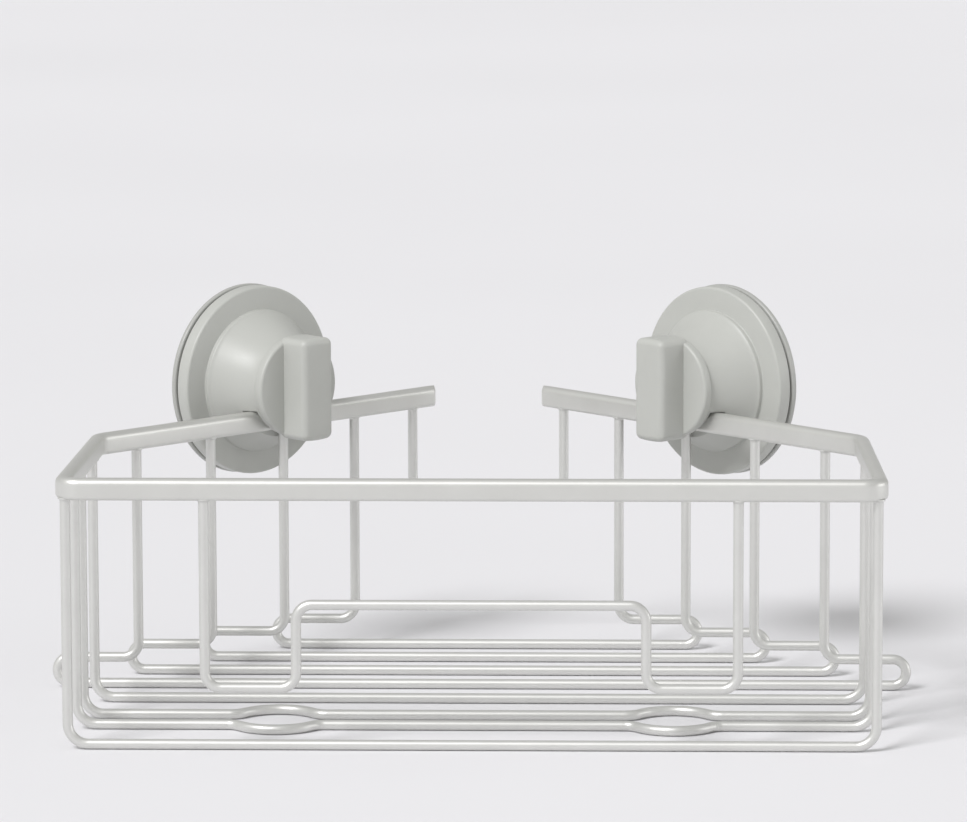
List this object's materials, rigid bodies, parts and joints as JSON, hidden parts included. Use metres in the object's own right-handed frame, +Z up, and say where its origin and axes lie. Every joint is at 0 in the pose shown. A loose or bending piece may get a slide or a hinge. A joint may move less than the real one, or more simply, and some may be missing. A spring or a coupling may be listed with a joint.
{
  "type": "corner shower caddy",
  "caption": "Corner wire basket hung from a flat bar rim, held to two walls by twist-lock suction units that slide along the rim's rear arms.",
  "frame": {"origin": "on the plane the floor wires stand on, under the middle of the outline: middle of the width, middle of the rim's depth", "axes": "+X from left to right as seen from the front, +Y from the front rim towards the wall corner, +Z up"},
  "size_m": [0.3032, 0.209, 0.1356],
  "materials": {
    "bar": "satin pale warm grey coat on steel bar",
    "wire": "satin pale warm grey coat on steel wire",
    "cup": "soft matte grey",
    "plastic": "fine matte light grey",
    "stud": "plain white grey"
  },
  "bodies": {
    "basket": {"rim_rail": "bar", "floor_wire_1": "wire", "floor_wire_2": "wire", "floor_wire_3": "wire", "floor_wire_4": "wire", "hairpin_wire_5": "wire", "hairpin_wire_6": "wire", "hairpin_wire_7": "wire", "hairpin_wire_8": "wire", "front_guard_wire": "wire", "rear_cross_wire": "wire"},
    "left_unit": {"left_suction_cup": "cup", "left_housing": "plastic", "left_washer": "stud"},
    "left_stud": {"left_stud": "stud"},
    "left_knob": {"left_knob": "plastic"},
    "right_unit": {"right_suction_cup": "cup", "right_housing": "plastic", "right_washer": "stud"},
    "right_stud": {"right_stud": "stud"},
    "right_knob": {"right_knob": "plastic"}
  },
  "joints": [
    {"name": "left_unit_slide", "type": "slide", "parent": "basket", "child": "left_unit", "axis": [0.7071, 0.7071, 0], "range_m": [-0.05, 0.05]},
    {"name": "left_knob_twist", "type": "hinge", "parent": "left_unit", "child": "left_knob", "pos_m": [-0.072, 0.052, 0.10125], "axis": [-0.7071, 0.7071, 0], "range_deg": [0, 180]},
    {"name": "left_stud_pull", "type": "slide", "parent": "left_unit", "child": "left_stud", "axis": [0.7071, -0.7071, 0], "range_m": [0, 0.0025], "deforming": ["left_suction_cup"]},
    {"name": "right_unit_slide", "type": "slide", "parent": "basket", "child": "right_unit", "axis": [-0.7071, 0.7071, 0], "range_m": [-0.05, 0.05]},
    {"name": "right_knob_twist", "type": "hinge", "parent": "right_unit", "child": "right_knob", "pos_m": [0.072, 0.052, 0.10125], "axis": [0.7071, 0.7071, 0], "range_deg": [0, 180]},
    {"name": "right_stud_pull", "type": "slide", "parent": "right_unit", "child": "right_stud", "axis": [-0.7071, -0.7071, 0], "range_m": [0, 0.0025], "deforming": ["right_suction_cup"]}
  ],
  "couplings": [
    {"joint": "left_stud_pull", "follows": "left_knob_twist", "m_per_rad": 0.000795},
    {"joint": "right_stud_pull", "follows": "right_knob_twist", "m_per_rad": 0.000795}
  ]
}
